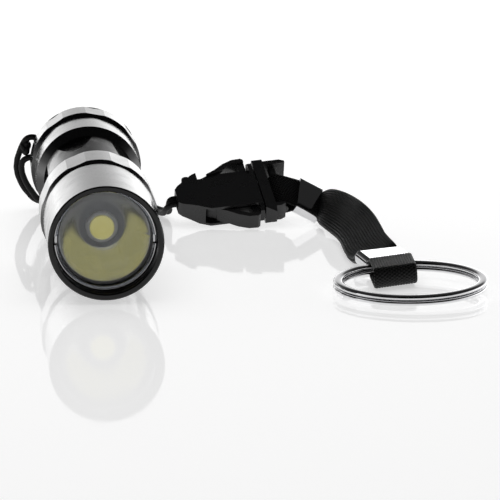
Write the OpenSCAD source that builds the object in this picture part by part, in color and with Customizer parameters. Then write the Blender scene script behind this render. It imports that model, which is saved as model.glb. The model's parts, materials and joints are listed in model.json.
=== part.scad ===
/* [Head] */
// Outside diameter of the smooth head
head_d = 20.8; // [20:0.1:25]
// Outside diameter of the faceted grip rings
grip_d = 21.6; // [21:0.1:26]
// Length of the smooth head, from the bezel face to the groove
head_smooth = 21.8; // [21:0.1:26]
// Clear diameter of the bezel mouth
mouth_d = 19; // [18:0.1:19.4]
// Depth of the lens behind the bezel face
lens_recess = 4.8; // [4:0.1:6]
// Thickness of the lens
lens_t = 1.5; // [1:0.1:2]
// Depth of the reflector
reflector_depth = 9.3; // [8.5:0.1:10]

/* [Battery and barrel] */
// Diameter of the cell
cell_d = 10.5; // [10:0.1:11]
// Overall length of the cell
cell_len = 44.5; // [40:0.1:52]
// Clearance around the cell
cell_gap = 0.25; // [0.1:0.05:0.5]
// Outside diameter of the barrel at its six flats
barrel_d = 17.6; // [17.4:0.1:17.8]
// Outside diameter of the barrel's waist
waist_d = 14; // [13.4:0.1:14.4]

/* [Tail] */
// Length of the smooth part of the tail cap
tail_smooth = 10.1; // [9.9:0.1:10.2]
// Length of the faceted part of the tail cap
tail_grip = 7; // [6:0.1:9]
// Length of the shroud around the button
shroud_len = 4.7; // [4.2:0.1:6]
// Travel of the tail button
button_travel = 1.2; // [0.8:0.1:1.5]

/* [Lanyard] */
// Thickness of the lanyard cord
cord_d = 1.2; // [1:0.1:1.4]
// Width of the release buckle
buckle_w = 14; // [13.4:0.1:17]
// Thickness of the release buckle
buckle_t = 4.6; // [4.2:0.1:5.5]
// Width of the webbing
webbing_w = 8.5; // [7.5:0.1:9]
// Thickness of one ply of webbing
webbing_t = 0.7; // [0.55:0.05:0.8]
// Outside diameter of the split key ring
ring_d = 28; // [24:0.5:32]
// Width of the ring's flat wire
ring_wire_w = 1.75; // [1.4:0.05:2]
// Height of one turn of the ring's wire
ring_wire_h = 0.93; // [0.8:0.01:1]

/* [Hidden] */
$fn = 96;

// Clearances: a seat, a running fit and a cut that goes clean through a wall
seat = 0.05;
running = 0.05;
through = 1;
edge = 0.25;

// Stations along the light, measured back from the bezel face
head_r = head_d / 2;
grip_r = grip_d / 2;
mouth_r = mouth_d / 2;
lens_back = lens_recess + lens_t;
seal_t = 0.6;
reflector_front = lens_back + seal_t;
reflector_back = reflector_front + reflector_depth;
insulator_t = 0.5;
board_front = reflector_back + insulator_t;
board_t = 1.8;
pill_front = board_front + board_t;
pill_len = 5.7;
pill_back = pill_front + pill_len;
nose_front = pill_back + seat;
groove_w = 0.45;
grip_front = head_smooth + groove_w;
grip_chamfer = 1.85;
head_grip = 11.1;
head_back = grip_front + head_grip + 2;
head_thread_len = 4.6;
head_thread_back = nose_front + head_thread_len;
head_seal_back = head_back - 2.1;

// Radii inside the head
lens_bore_r = mouth_r - 0.5;
lens_r = lens_bore_r - seat;
ring_bore_r = mouth_r - 0.2;
nose_r = 7.5;
rear_bore_r = nose_r + 0.1;
waist_r = waist_d / 2;
barrel_r = barrel_d / 2;
cell_bore_r = cell_d / 2 + cell_gap;
oring_t = 0.7;

// Stations of the cell, the barrel and the tail
contact_h = 1.5;
driver_t = 1.2;
driver_front = pill_back - 1.9;
driver_back = driver_front + driver_t;
cell_front = driver_back + contact_h + seat;
cell_back = cell_front + cell_len;
cell_cap_h = 1.15;
spring_room = 4.65;
tail_board_front = cell_back + spring_room;
tail_board_t = 1.2;
switch_ring_t = 1.2;
nose_back = tail_board_front - switch_ring_t - 0.2;
tail_nose_len = 12.8;
tail_thread_len = 4.6;
tail_front = nose_back - tail_nose_len;
cone_back = tail_front - 0.4;
cone_len = 18;
tail_seal_len = 3.4;
tail_thread_r = 7.25;
tail_bore_r = tail_thread_r + 0.1;
tail_seal_bore_r = 7.7;
tail_chamfer = 2.6;
tail_groove = tail_front + tail_chamfer + 0.4 + tail_smooth;
tail_grip_front = tail_groove + groove_w;
tail_grip_back = tail_grip_front + 1.1 + tail_grip;
shroud_front = tail_grip_back + 0.9;
tail_back = shroud_front + shroud_len;
shroud_r = 9.8;
recess_r = 8.2;
boot_flange_t = 0.8;
cap_web_t = 1.4;
recess_front = shroud_front - 0.4;
web_front = recess_front - cap_web_t;
switch_bore_r = 6.9;
boot_hole_r = 5;
switch_front = tail_board_front + tail_board_t;
washer_t = 0.6;
switch_back = web_front - boot_flange_t - washer_t;

// Facets
facets = 8;
facet_half_angle = 10;
facet_r = grip_r * cos(facet_half_angle);
tail_facet_turn = 10.5;
flats = 5;
flat_half_angle = 24;
flat_r = barrel_r * cos(flat_half_angle);
flat_turn = 51.5;

// The lanyard holes in the shroud, as turns from the top
hole_turns = [-66, -88];
hole_station = tail_back - 2.5;
hole_r = cord_d / 2 + 0.35;

// The floor that the light lies on, and the level that the cord rests at
floor_z = -grip_r;

// Where the buckle lies, and how it leans
buckle_at = [33.5, 67.6, -5.15];
buckle_turn = [0, -4.5, 7];
buckle_lean = 30;
socket_len = 16.2;
collar_len = 0.8;
cavity_half = buckle_w / 2 - 0.9;
cavity_h = 1.35;
notch_back = 11.4;
notch_depth = 3.2;
plate_edge = 5.7;
plug_gap = 0.25;
flange_t = 2.1;
plug_len = [6.8, 4.4];
bar_x = 4.2;
bar_r = 0.8;
bar_gap = 0.2;
prong_hinge = [1, buckle_w / 2 - 2.3];
prong_t = 1.1;
prong_half_h = 1.15;
pad_half_h = 1.6;
slot_half_h = 1.75;
blade_half_w = 1.6;
blade_len = 6;
strap_offset = -1.3;

// Where the two crimped ferrules lie
ferrule_len = 5.2;
ferrule_wall = 0.4;
ferrule_room = 0.1;
ferrule_a_at = [43.35, 66.3, -6.75];
ferrule_a_turn = [30, 28.9, 5.5];
ferrule_b_at = [52.7, 18.9, -8.8];
ferrule_b_turn = [2, 6, -74];
strap_t = 2 * webbing_t + 0.1;
ferrule_w = webbing_w + 2 * (ferrule_room + ferrule_wall);
ferrule_t = strap_t + 2 * (ferrule_room + ferrule_wall) + 0.1;

// The loop of webbing that holds the ring, which runs a little askew from the ferrule
ring_h = 2 * ring_wire_h + 0.04;
ring_mid_r = (ring_d - ring_wire_w) / 2;
loop_at = [53.43, 16.35, -8.96];
loop_turn = [3, -1.8, -74];
loop_skew = -0.325;
loop_room = ring_h + 0.6;
loop_start = 0.1;
loop_wide = 2.4;
loop_nose = 11;

// The point of the ring that lies in the loop, and how the ring lies from there
ring_hold = [53.6, 13.5, -9];
ring_turn = [1.22, 1.34, -82.5];

// Route of the lanyard cord: out of the buckle, round behind the tail, through the two
// lanyard holes and back to the buckle beside itself
route_out = [[18.5, 65.1, -6.75], [16.5, 64.9, -6.95], [15.5, 66.4, -8], [15.2, 70, -9.5],
    [14.2, 75, -10.2], [11, 80.4, -10.2], [5, 83.6, -10.2], [-3, 83.9, -10.2],
    [-8.3, 83.5, -9.3], [-10.4, 82.6, -7], [-11.7, 81.8, -4.6], [-12.3, 81.1, -2.4],
    [-12.1, 80.4, -0.7], [-11.1, 80.1, 0.1]];
route_hole = [[-9.8, 79.95, 0.34], [-8.2, 79.95, 0.29], [-6.9, 79.95, 0.8], [-6.3, 79.95, 1.9],
    [-6.8, 79.95, 3], [-8, 79.95, 3.6], [-9.1, 79.95, 4.05], [-10.4, 80, 4.3],
    [-11.4, 80.3, 3.8], [-12.1, 80.9, 2.6]];
route_back = [[-12.7, 81.6, 1], [-13.2, 82.2, -0.9], [-13.2, 82.8, -3], [-12.5, 83.4, -5.2],
    [-11.2, 84.1, -7.4], [-8.8, 84.8, -9.5], [-3, 85.4, -10.2], [5.6, 85.2, -10.2],
    [12.2, 81.6, -10.2], [15.7, 75.6, -10.2], [16.4, 71, -9.3], [16.1, 67.8, -7.4],
    [16.5, 66.35, -6.2], [18.4, 66.45, -5.95]];
route = concat(route_out, route_hole, route_back);
cord_sides = 8;
knot_at = [-11.5, 80.6, 2.2];

// Edges of the strap between the ferrules: its upper edge, then its lower edge
strap_edges = [
    [[47.3, 65.8, -5], [45.3, 59.5, -10.1]],
    [[48.3, 60.4, -3.6], [45.4, 55.6, -10.1]],
    [[50.6, 53.6, -3.3], [46.4, 51.2, -10.5]],
    [[52.2, 46.8, -3.6], [47.1, 46.6, -10.6]],
    [[53.4, 41.8, -4.6], [47.4, 41.4, -10.6]],
    [[54.2, 36.2, -5.6], [47.1, 35.9, -10.6]],
    [[54.7, 30.3, -6.6], [47, 30.2, -10.5]],
    [[55.6, 24.9, -7.4], [47.6, 24.6, -10.2]]];

// ---- Helpers ----

// Lays a solid of revolution along the light: z is the distance behind the bezel face,
// and a turn of zero points to the top
module along_light() {
    translate([0, -lens_recess, 0]) rotate([-90, 0, 0]) children();
}

// A washer or tube between two stations
module tube(outer_r, inner_r, from, to) {
    rotate_extrude() translate([inner_r, from]) square([outer_r - inner_r, to - from]);
}

// Points of a thread cut into a profile, from one station to the next
function thread(root_r, crest_r, from, to, pitch) =
    let (turns = floor(abs(to - from) / pitch), step = (to - from) / turns)
    [for (k = [0:turns - 1], p = [[root_r, 0.1], [crest_r, 0.35], [crest_r, 0.65], [root_r, 0.9]])
        [p[0], from + (k + p[1]) * step]];

// Flats milled along the light at equal turns
module milled_flats(count, at_r, turn, from, to) {
    for (k = [0:count - 1]) {
        rotate([0, 0, turn + k * 360 / count])
            translate([-grip_d, -at_r - grip_d, from])
            cube([2 * grip_d, grip_d, to - from]);
    }
}

function between(a, b, c, d, t) =
    0.5 * (2 * b + (c - a) * t + (2 * a - 5 * b + 4 * c - d) * t * t
        + (3 * b - a - 3 * c + d) * t * t * t);

// A smooth line through the given points, with the given number of steps between each pair
function smooth_line(p, steps) = concat(
    [for (i = [0:len(p) - 2], k = [0:steps - 1])
        between(p[max(i - 1, 0)], p[i], p[i + 1], p[min(i + 2, len(p) - 1)], k / steps)],
    [p[len(p) - 1]]);

function unit(v) = v / norm(v);

function tangents(p) = [for (i = [0:len(p) - 1])
    unit(p[min(i + 1, len(p) - 1)] - p[max(i - 1, 0)])];

// Side vectors carried along a line without twist
function carried(t) = [for (i = 0, s = unit(cross(t[0], [0.2, 0.3, 1])); i < len(t);
    i = i + 1, s = i < len(t) ? unit(s - (s * t[i]) * t[i]) : s) s];

// Joins rings of equal count into one closed solid
module skin(rings) {
    n = len(rings[0]);
    last = len(rings) - 1;
    walls = [for (i = [0:last - 1], k = [0:n - 1], f = [0, 1])
        let (a = i * n + k, b = i * n + (k + 1) % n)
        f == 0 ? [a, b, b + n] : [a, b + n, a + n]];
    starts = [for (k = [1:n - 2]) [0, k + 1, k]];
    ends = [for (k = [1:n - 2]) [last * n, last * n + k, last * n + k + 1]];
    polyhedron([for (r = rings, q = r) q], concat(walls, starts, ends), convexity = 10);
}

// A round tube swept along a line
module swept_tube(line, r, sides) {
    t = tangents(line);
    s = carried(t);
    skin([for (i = [0:len(line) - 1])
        let (u = s[i], v = cross(t[i], u))
        [for (k = [0:sides - 1])
            line[i] + r * (cos(360 * k / sides) * u - sin(360 * k / sides) * v)]]);
}

// A coil spring between two stations, which may widen from one end to the other
module coil(r_from, r_to, wire_r, from, to, turns, per_turn) {
    steps = turns * per_turn;
    swept_tube([for (k = [0:steps])
        let (f = k / steps, r = r_from + (r_to - r_from) * f, a = 360 * turns * f)
        [r * cos(a), r * sin(a), from + wire_r + (to - from - 2 * wire_r) * f]], wire_r, 6);
}

// A flat rectangle with round corners
module round_rect(w, h, r) {
    square([w - 2 * r, h], center = true);
    square([w, h - 2 * r], center = true);
    for (x = [-1, 1], y = [-1, 1]) {
        translate([x * (w / 2 - r), y * (h / 2 - r)]) circle(r);
    }
}

// ---- Head ----

module head_shell() color([0.08, 0.08, 0.09]) along_light() difference() {
    rotate_extrude() polygon(concat(
        [[mouth_r, 0], [head_r - edge, 0], [head_r, edge], [head_r, head_smooth],
            [head_r - 0.45, head_smooth + 0.2], [head_r - 0.45, grip_front],
            [grip_r, grip_front + grip_chamfer], [grip_r, grip_front + head_grip],
            [grip_r - 0.6, head_back - 0.8], [rear_bore_r + 0.8, head_back],
            [rear_bore_r, head_back], [rear_bore_r, head_seal_back],
            [rear_bore_r + oring_t / 2, head_seal_back],
            [rear_bore_r + oring_t / 2, head_seal_back - 2 * oring_t],
            [rear_bore_r, head_seal_back - 2 * oring_t]],
        thread(rear_bore_r, rear_bore_r + 0.3, head_thread_back, nose_front, 0.8),
        [[rear_bore_r, pill_front], [lens_bore_r, pill_front], [lens_bore_r, lens_recess],
            [ring_bore_r, lens_recess]],
        thread(ring_bore_r, ring_bore_r + 0.15, lens_recess - 1.5, 0.7, 0.6),
        [[ring_bore_r, 0.5], [mouth_r, 0.3]]));
    milled_flats(facets, facet_r, 180 / facets, grip_front, grip_front + head_grip + 0.3);
}

module lens_retaining_ring() color([0.12, 0.12, 0.13]) along_light() difference() {
    rotate_extrude() polygon([[lens_r - 0.35, lens_recess], [lens_r - 0.35, lens_recess - 0.9],
        [lens_r, lens_recess - 1.5], [ring_bore_r - running, lens_recess - 1.5],
        [ring_bore_r - running, lens_recess]]);
    for (k = [0, 1]) {
        rotate([0, 0, 90 + 180 * k])
            translate([-0.75, -mouth_r, lens_recess - 2])
            cube([1.5, mouth_r - lens_r + 0.9, 1.2]);
    }
}

module lens() color([0.85, 0.92, 0.95, 0.35]) along_light() rotate_extrude()
    polygon([[0, lens_recess], [lens_r - 0.15, lens_recess], [lens_r, lens_recess + 0.15],
        [lens_r, lens_back - 0.15], [lens_r - 0.15, lens_back], [0, lens_back]]);

module lens_seal() color([0.1, 0.1, 0.1]) along_light()
    tube(lens_r, lens_r - 0.7, lens_back, reflector_front);

// The mirror is a paraboloid whose focus lies at the emitter
mirror_front_r = lens_r - 0.75;
mirror_back_r = 3;
mirror_4f = (mirror_front_r * mirror_front_r - mirror_back_r * mirror_back_r) / reflector_depth;
mirror_apex = reflector_back + mirror_back_r * mirror_back_r / mirror_4f;
function mirror_r(z) = sqrt(mirror_4f * (mirror_apex - z));
mirror_wall = 0.7;
mirror_foot = 1.5;

module reflector() color([0.85, 0.86, 0.88]) along_light() rotate_extrude() polygon(concat(
    [for (k = [0:20]) let (z = reflector_back - k * reflector_depth / 20) [mirror_r(z), z]],
    [[lens_r, reflector_front], [lens_r, reflector_front + 1],
        [mirror_r(reflector_front + 1) + mirror_wall, reflector_front + 1]],
    [for (k = [1:12])
        let (z = reflector_front + 1 + k * (reflector_depth - 1 - mirror_foot) / 12)
        [mirror_r(z) + mirror_wall, z]],
    [[mirror_r(reflector_back - mirror_foot) + mirror_wall, reflector_back]]));

// The emitter stands on its board inside the mirror's hole
emitter_r = 2.7;
dome_r = 2.3;
phosphor_r = 1.75;
phosphor_t = 0.3;
emitter_face = board_front - 1.1;

module led_dome() color([0.9, 0.9, 0.8, 0.4]) along_light() rotate_extrude()
    polygon(concat([[0, emitter_face - phosphor_t]],
        [for (a = [0:8:80]) [dome_r * cos(a), emitter_face - phosphor_t - dome_r * sin(a)]],
        [[0, emitter_face - phosphor_t - dome_r * sin(80)]]));

module led_phosphor() color([0.85, 0.8, 0.25]) along_light()
    tube(phosphor_r, 0, emitter_face - phosphor_t, emitter_face);

module led_base() color([0.92, 0.92, 0.9]) along_light() rotate_extrude()
    polygon([[0, board_front], [emitter_r, board_front], [emitter_r, emitter_face - phosphor_t],
        [dome_r + seat, emitter_face - phosphor_t], [dome_r - 0.2, emitter_face],
        [0, emitter_face]]);

module led_insulator() color([0.9, 0.9, 0.86]) along_light()
    tube(lens_r - 0.4, emitter_r + 0.4, reflector_back, board_front);

wire_x = 4.5;
wire_r = 0.4;

// Two holes for the leads, cut through what lies between the driver and the emitter
module lead_holes(from, to) {
    for (x = [-wire_x, wire_x]) {
        translate([x, 0, from - through]) cylinder(r = wire_r + 0.35, h = to - from + 2 * through);
    }
}

module led_board() color([0.93, 0.93, 0.93]) along_light() difference() {
    tube(lens_r - seat, 0, board_front, pill_front);
    lead_holes(board_front, pill_front);
}

pill_web = 2.2;

module heat_sink_pill() color([0.78, 0.6, 0.3]) along_light() difference() {
    tube(nose_r + seat, 0, pill_front, pill_back);
    translate([0, 0, pill_front + pill_web]) cylinder(r = nose_r - 0.9, h = pill_len);
    lead_holes(pill_front, pill_front + pill_web);
}

module driver_board() color([0.1, 0.35, 0.2]) along_light()
    tube(nose_r - 0.9 - seat, 0, driver_front, driver_back);

driver_room = driver_front - pill_front - pill_web;

module driver_inductor() color([0.25, 0.25, 0.27]) along_light() {
    translate([-2.2, 1.2, driver_front - driver_room + 0.15])
        cube([4.4, 3.4, driver_room - 0.15]);
}

module driver_chip() color([0.08, 0.08, 0.08]) along_light() {
    translate([-1.6, -4, driver_front - 0.9]) cube([3.2, 2.8, 0.9]);
}

module driver_contact() color([0.82, 0.66, 0.32]) along_light() rotate_extrude()
    polygon([[0, driver_back], [2.1, driver_back], [2.1, driver_back + 0.5],
        [1.4, driver_back + 0.8], [1.4, driver_back + contact_h - 0.2],
        [1.2, driver_back + contact_h], [0, driver_back + contact_h]]);

module led_wires() color([0.7, 0.1, 0.08]) along_light() {
    for (x = [-wire_x, wire_x]) {
        translate([x, 0, board_front]) cylinder(r = wire_r, h = driver_front - board_front);
    }
}

module head_o_ring() color([0.1, 0.1, 0.1]) along_light() rotate_extrude()
    translate([waist_r + oring_t / 2 + 0.02, head_seal_back - oring_t]) circle(oring_t / 2);

// ---- Barrel and cell ----

module barrel() color([0.07, 0.07, 0.08]) along_light() difference() {
    intersection() {
        rotate_extrude() polygon(concat(
            [[cell_bore_r, nose_front], [nose_r - 0.3, nose_front]],
            thread(nose_r - 0.25, nose_r, nose_front + 0.1, head_thread_back - 0.3, 0.8),
            [[waist_r, head_thread_back], [waist_r, cone_back - cone_len],
                [barrel_r, cone_back], [barrel_r, tail_front - 0.15],
                [tail_thread_r - 0.25, tail_front - 0.15],
                [tail_thread_r - 0.25, tail_front + 0.7],
                [tail_thread_r - 0.5, tail_front + 0.7],
                [tail_thread_r - 0.5, tail_front + 2.1],
                [tail_thread_r - 0.25, tail_front + 2.1]],
            thread(tail_thread_r - 0.3, tail_thread_r, nose_back - tail_thread_len, nose_back - 0.2, 1),
            [[cell_bore_r, nose_back]]));
        union() {
            cylinder(r = barrel_r + through, h = cone_back - cone_len);
            difference() {
                cylinder(r = barrel_r + through, h = nose_back + through);
                milled_flats(flats, flat_r, flat_turn, cone_back - cone_len, nose_back + 2);
            }
        }
    }
}

module tail_o_ring() color([0.1, 0.1, 0.1]) along_light() rotate_extrude()
    translate([tail_thread_r - 0.5 + oring_t / 2 + 0.02, tail_front + 1.4]) circle(oring_t / 2);

sleeve_t = 0.15;
can_r = cell_d / 2 - sleeve_t;

module cell_can() color([0.75, 0.76, 0.78]) along_light()
    tube(can_r - 0.02, 0, cell_front + cell_cap_h, cell_back);

module cell_sleeve() color([0.15, 0.35, 0.3]) along_light()
    tube(cell_d / 2, can_r, cell_front + cell_cap_h, cell_back - 0.3);

module cell_positive_cap() color([0.8, 0.81, 0.83]) along_light() rotate_extrude()
    polygon([[0, cell_front], [1.6, cell_front], [1.9, cell_front + 0.3],
        [1.9, cell_front + cell_cap_h], [0, cell_front + cell_cap_h]]);

// ---- Tail ----

module tail_cap() color([0.07, 0.07, 0.08]) along_light() difference() {
    rotate_extrude() polygon(concat(
        [[tail_seal_bore_r, tail_front], [barrel_r, tail_front],
            [grip_r - 0.6, tail_front + tail_chamfer],
            [grip_r - 0.6, tail_groove], [grip_r - 0.9, tail_groove + 0.2],
            [grip_r - 0.9, tail_grip_front], [grip_r, tail_grip_front + 1.1],
            [grip_r, tail_grip_back], [grip_r - 0.6, shroud_front], [shroud_r, shroud_front],
            [shroud_r, tail_back - 0.4], [shroud_r - 0.4, tail_back], [recess_r + 0.2, tail_back],
            [recess_r, tail_back - 0.2], [recess_r, recess_front], [boot_hole_r, recess_front],
            [boot_hole_r, web_front], [switch_bore_r, web_front], [switch_bore_r, nose_back + 0.1],
            [tail_bore_r, nose_back + 0.1]],
        thread(tail_bore_r, tail_bore_r + 0.25, nose_back, nose_back - tail_thread_len + 0.2, 1),
        [[tail_bore_r + 0.25, nose_back - tail_thread_len],
            [tail_bore_r + 0.25, tail_front + tail_seal_len],
            [tail_seal_bore_r, tail_front + tail_seal_len - 0.2]]));
    milled_flats(facets, facet_r, tail_facet_turn, tail_grip_front, tail_grip_back + 0.1);
    for (turn = hole_turns) {
        rotate([0, 0, turn])
            translate([0, through - recess_r, hole_station])
            rotate([90, 0, 0])
            cylinder(r = hole_r, h = shroud_r - recess_r + 2 * through);
    }
}

module switch_retaining_ring() color([0.75, 0.62, 0.35]) along_light() difference() {
    tube(switch_bore_r - running, 4.8, tail_board_front - switch_ring_t, tail_board_front);
    for (k = [0, 1]) {
        rotate([0, 0, 45 + 180 * k])
            translate([5.8, 0, tail_board_front - switch_ring_t - through])
            cylinder(r = 0.5, h = switch_ring_t + 2 * through);
    }
}

module battery_spring() color([0.8, 0.7, 0.4]) along_light()
    coil(2.2, 4, 0.3, cell_back + seat, tail_board_front, 4, 14);

module tail_contact_board() color([0.1, 0.35, 0.2]) along_light()
    tube(switch_bore_r - running, 0, tail_board_front, switch_front);

plunger_r = 1.8;
plunger_gap = 0.1;
switch_floor = 0.6;
plunger_back = tail_back - 2;
spring_h = 2.2;

module switch_housing() color([0.12, 0.12, 0.13]) along_light() difference() {
    tube(6.2, 0, switch_front, switch_back);
    translate([0, 0, switch_front + switch_floor])
        cylinder(r = plunger_r + plunger_gap, h = switch_back);
}

module switch_spring() color([0.8, 0.8, 0.82]) along_light()
    coil(1.3, 1.3, 0.18, switch_front + switch_floor, switch_front + switch_floor + spring_h, 3, 12);

module switch_plunger() color([0.85, 0.85, 0.82]) along_light()
    tube(plunger_r, 0, switch_front + switch_floor + spring_h + seat, plunger_back);

module boot_washer() color([0.2, 0.2, 0.21]) along_light()
    tube(switch_bore_r - running, 4.2, switch_back, switch_back + washer_t);

boot_wall = 0.8;
boot_r = boot_hole_r - 0.1;
boot_top = plunger_back + seat + boot_wall;

module switch_boot() color([0.1, 0.1, 0.1]) along_light() rotate_extrude()
    polygon([[boot_r - boot_wall, web_front - boot_flange_t], [switch_bore_r - running, web_front - boot_flange_t],
        [switch_bore_r - running, web_front], [boot_r, web_front], [boot_r, boot_top - 1.6],
        [boot_r - 0.5, boot_top - 0.7], [boot_r - 1.5, boot_top - 0.15], [boot_r - 2.4, boot_top],
        [0, boot_top], [0, boot_top - boot_wall], [boot_r - 2.5, boot_top - boot_wall],
        [boot_r - 1.7, boot_top - 1.1], [boot_r - boot_wall, boot_top - 2]]);

// ---- Lanyard cord ----

module lanyard_cord() color([0.05, 0.05, 0.05])
    swept_tube(smooth_line(route, 2), cord_d / 2, cord_sides);

module cord_knot() color([0.05, 0.05, 0.05]) translate(knot_at) rotate([10, -10, 0])
    rotate_extrude() polygon([[0, -1.4], [0.5, -1.4], [0.9, -0.8], [1, 0], [0.9, 0.8],
        [0.5, 1.4], [0, 1.4]]);

// ---- Buckle ----

// Places the buckle: x runs from the socket's tip to the plug, y up across its width
module at_buckle() {
    translate(buckle_at) rotate(buckle_turn) rotate([buckle_lean, 0, 0]) children();
}

bevel = 1;

// The buckle's cross-section, a flat hexagon, along a stretch of its length
module buckle_section(from, to, trim) {
    w = buckle_w / 2 - trim;
    t = buckle_t / 2;
    translate([from, 0, 0]) rotate([90, 0, 90]) linear_extrude(to - from)
        polygon([[-w, -t + bevel], [-w + bevel, -t], [w - bevel, -t], [w, -t + bevel],
            [w, t - bevel], [w - bevel, t], [-w + bevel, t], [-w, t - bevel]]);
}

// Half of the socket's outline, from its tip to its mouth
function socket_edge(side) = [[-socket_len, side * 1.9], [-socket_len + 0.7, side * 2.7],
    [-14, side * 3.6], [-12.4, side * 4.7], [-10, side * (buckle_w / 2 - 1.1)],
    [-7, side * (buckle_w / 2 - 0.4)], [-3, side * buckle_w / 2], [0, side * buckle_w / 2]];

module buckle_socket() color([0.06, 0.06, 0.065]) at_buckle() difference() {
    union() {
        intersection() {
            buckle_section(-socket_len, 0, 0);
            translate([0, 0, -buckle_t]) linear_extrude(2 * buckle_t)
                polygon(concat(socket_edge(1), [for (k = [7:-1:0]) socket_edge(-1)[k]]));
            rotate([90, 0, 0]) linear_extrude(2 * buckle_w, center = true)
                polygon([[-socket_len, -1.5], [-12.6, -buckle_t / 2], [1, -buckle_t / 2],
                    [1, buckle_t / 2], [-12.6, buckle_t / 2], [-socket_len, 1.5]]);
        }
        translate([-13.3, 4.9, 0]) cylinder(r = 0.9, h = 2, center = true);
    }
    translate([-notch_back, -cavity_half, -cavity_h])
        cube([notch_back + through, 2 * cavity_half, 2 * cavity_h]);
    for (s = [-1, 1], depth = [s > 0 ? notch_depth : plate_edge]) {
        translate([-notch_back, s * (depth + 5) - 5, -buckle_t])
            cube([notch_back - collar_len, 10, 2 * buckle_t]);
        translate([-notch_back, s * (notch_depth + 5) - 5, -slot_half_h])
            cube([notch_back - collar_len, 10, 2 * slot_half_h]);
        translate([-socket_len - through, s * 0.78, 0]) rotate([0, 90, 0])
            cylinder(r = cord_d / 2 + 0.1, h = 2 + through);
    }
}

module buckle_plug() color([0.06, 0.06, 0.065]) at_buckle() difference() {
    union() {
        intersection() {
            buckle_section(plug_gap, plug_gap + flange_t, -0.8);
            translate([0, 0, -buckle_t]) linear_extrude(2 * buckle_t)
                polygon([[plug_gap, -buckle_w / 2], [plug_gap + flange_t, -buckle_w / 2 - 0.8],
                    [plug_gap + flange_t, buckle_w / 2 + 0.8], [plug_gap, buckle_w / 2]]);
        }
        translate([-blade_len, -blade_half_w, -1.1])
            cube([blade_len + plug_gap + 0.5, 2 * blade_half_w, 2.2]);
        for (s = [-1, 1]) {
            translate([0, 0, -1.9]) linear_extrude(3.8)
                let (len = plug_len[s > 0 ? 0 : 1])
                polygon([[plug_gap + 1, s * (buckle_w / 2 - 1.3)], [len, s * (buckle_w / 2 - 1.3)],
                    [len, s * (buckle_w / 2 - 0.8)], [len - 1, s * (buckle_w / 2 - 0.3)],
                    [plug_gap + 1, s * (buckle_w / 2 - 0.3)]]);
        }
        translate([bar_x, 0, 0]) rotate([90, 0, 0])
            cylinder(r = bar_r, h = buckle_w - 2, center = true);
    }
    for (s = [-1, 1]) {
        translate([plug_gap - through, s * prong_hinge[1] - 0.85, -1.35])
            cube([1.6 + through, 1.7, 2.7]);
    }
}

// One springy arm of the plug; side is 1 for the upper arm and -1 for the lower
module prong(side) {
    w = prong_hinge[1];
    t = prong_t / 2;
    pad = w + 3.9;
    at_buckle() mirror([0, side < 0 ? 1 : 0, 0]) difference() {
        union() {
            translate([prong_hinge[0], w, -prong_half_h]) cylinder(r = t, h = 2 * prong_half_h);
            translate([0, 0, -prong_half_h]) linear_extrude(2 * prong_half_h)
                polygon([[prong_hinge[0], w - t], [prong_hinge[0], w + t], [-1.1, w + t],
                    [-1.1, pad - 0.8], [-7.3, pad - 2.5], [-9.4, w + 0.3], [-11, w - 0.5],
                    [-11.2, w - 0.9], [-10.8, w - 1.3], [-6, w - t]]);
            translate([0, 0, -pad_half_h]) linear_extrude(2 * pad_half_h)
                polygon([[-1.1, pad - 1], [-1.1, pad - 0.4], [-1.6, pad], [-3.4, pad - 0.1],
                    [-5.4, pad - 1], [-7.3, pad - 2.4], [-9.2, pad - 3.4], [-9.2, pad - 3.8],
                    [-7.2, pad - 3.3], [-5, pad - 2.2], [-3, pad - 1.2]]);
        }
        translate([0, 0, -buckle_t]) linear_extrude(2 * buckle_t)
            polygon([[-2.4, w + t + 0.1], [-2.4, pad - 1], [-3.2, pad - 1.1], [-4.8, pad - 1.9],
                [-6.4, w + t + 0.1]]);
    }
}

module buckle_prong_upper() color([0.07, 0.07, 0.075]) prong(1);

module buckle_prong_lower() color([0.07, 0.07, 0.075]) prong(-1);

// ---- Strap, ferrules and ring ----

module strap_bar_loop() color([0.05, 0.05, 0.05]) at_buckle()
    translate([bar_x, strap_offset, 0]) rotate([90, 0, 0]) difference() {
        cylinder(r = bar_r + bar_gap + webbing_t, h = webbing_w, center = true);
        cylinder(r = bar_r + bar_gap, h = webbing_w + 2 * through, center = true);
    }

// A flat tube of metal crimped round both plies; x runs along it
module ferrule() {
    rotate([90, 0, 90]) linear_extrude(ferrule_len, center = true) difference() {
        round_rect(ferrule_w, ferrule_t, 1.1);
        square([webbing_w + 2 * ferrule_room, strap_t + 2 * ferrule_room], center = true);
    }
}

module at_ferrule_a() {
    translate(ferrule_a_at) rotate(ferrule_a_turn) children();
}

module at_ferrule_b() {
    translate(ferrule_b_at) rotate(ferrule_b_turn) children();
}

module ferrule_buckle_end() color([0.75, 0.76, 0.78]) at_ferrule_a() ferrule();

module ferrule_ring_end() color([0.75, 0.76, 0.78]) at_ferrule_b() ferrule();

// A vector turned as rotate() turns it
function turned(v, a) =
    let (x1 = v[0], y1 = v[1] * cos(a[0]) - v[2] * sin(a[0]),
        z1 = v[1] * sin(a[0]) + v[2] * cos(a[0]),
        x2 = x1 * cos(a[1]) + z1 * sin(a[1]), z2 = z1 * cos(a[1]) - x1 * sin(a[1]))
    [x2 * cos(a[2]) - y1 * sin(a[2]), x2 * sin(a[2]) + y1 * cos(a[2]), z2];

// The two edges of the strap at a distance along a ferrule
function ferrule_edges(at, turn, x) =
    [for (s = [1, -1]) at + turned([x, s * webbing_w / 2, 0], turn)];

span_half = ferrule_len / 2;
span_stations = concat(
    [for (x = [-span_half, 0, span_half - 0.1, span_half + 0.5])
        ferrule_edges(ferrule_a_at, ferrule_a_turn, x)],
    strap_edges,
    [for (x = [-span_half - 0.5, -span_half + 0.1, 0, span_half - 0.1])
        ferrule_edges(ferrule_b_at, ferrule_b_turn, x)]);

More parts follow.
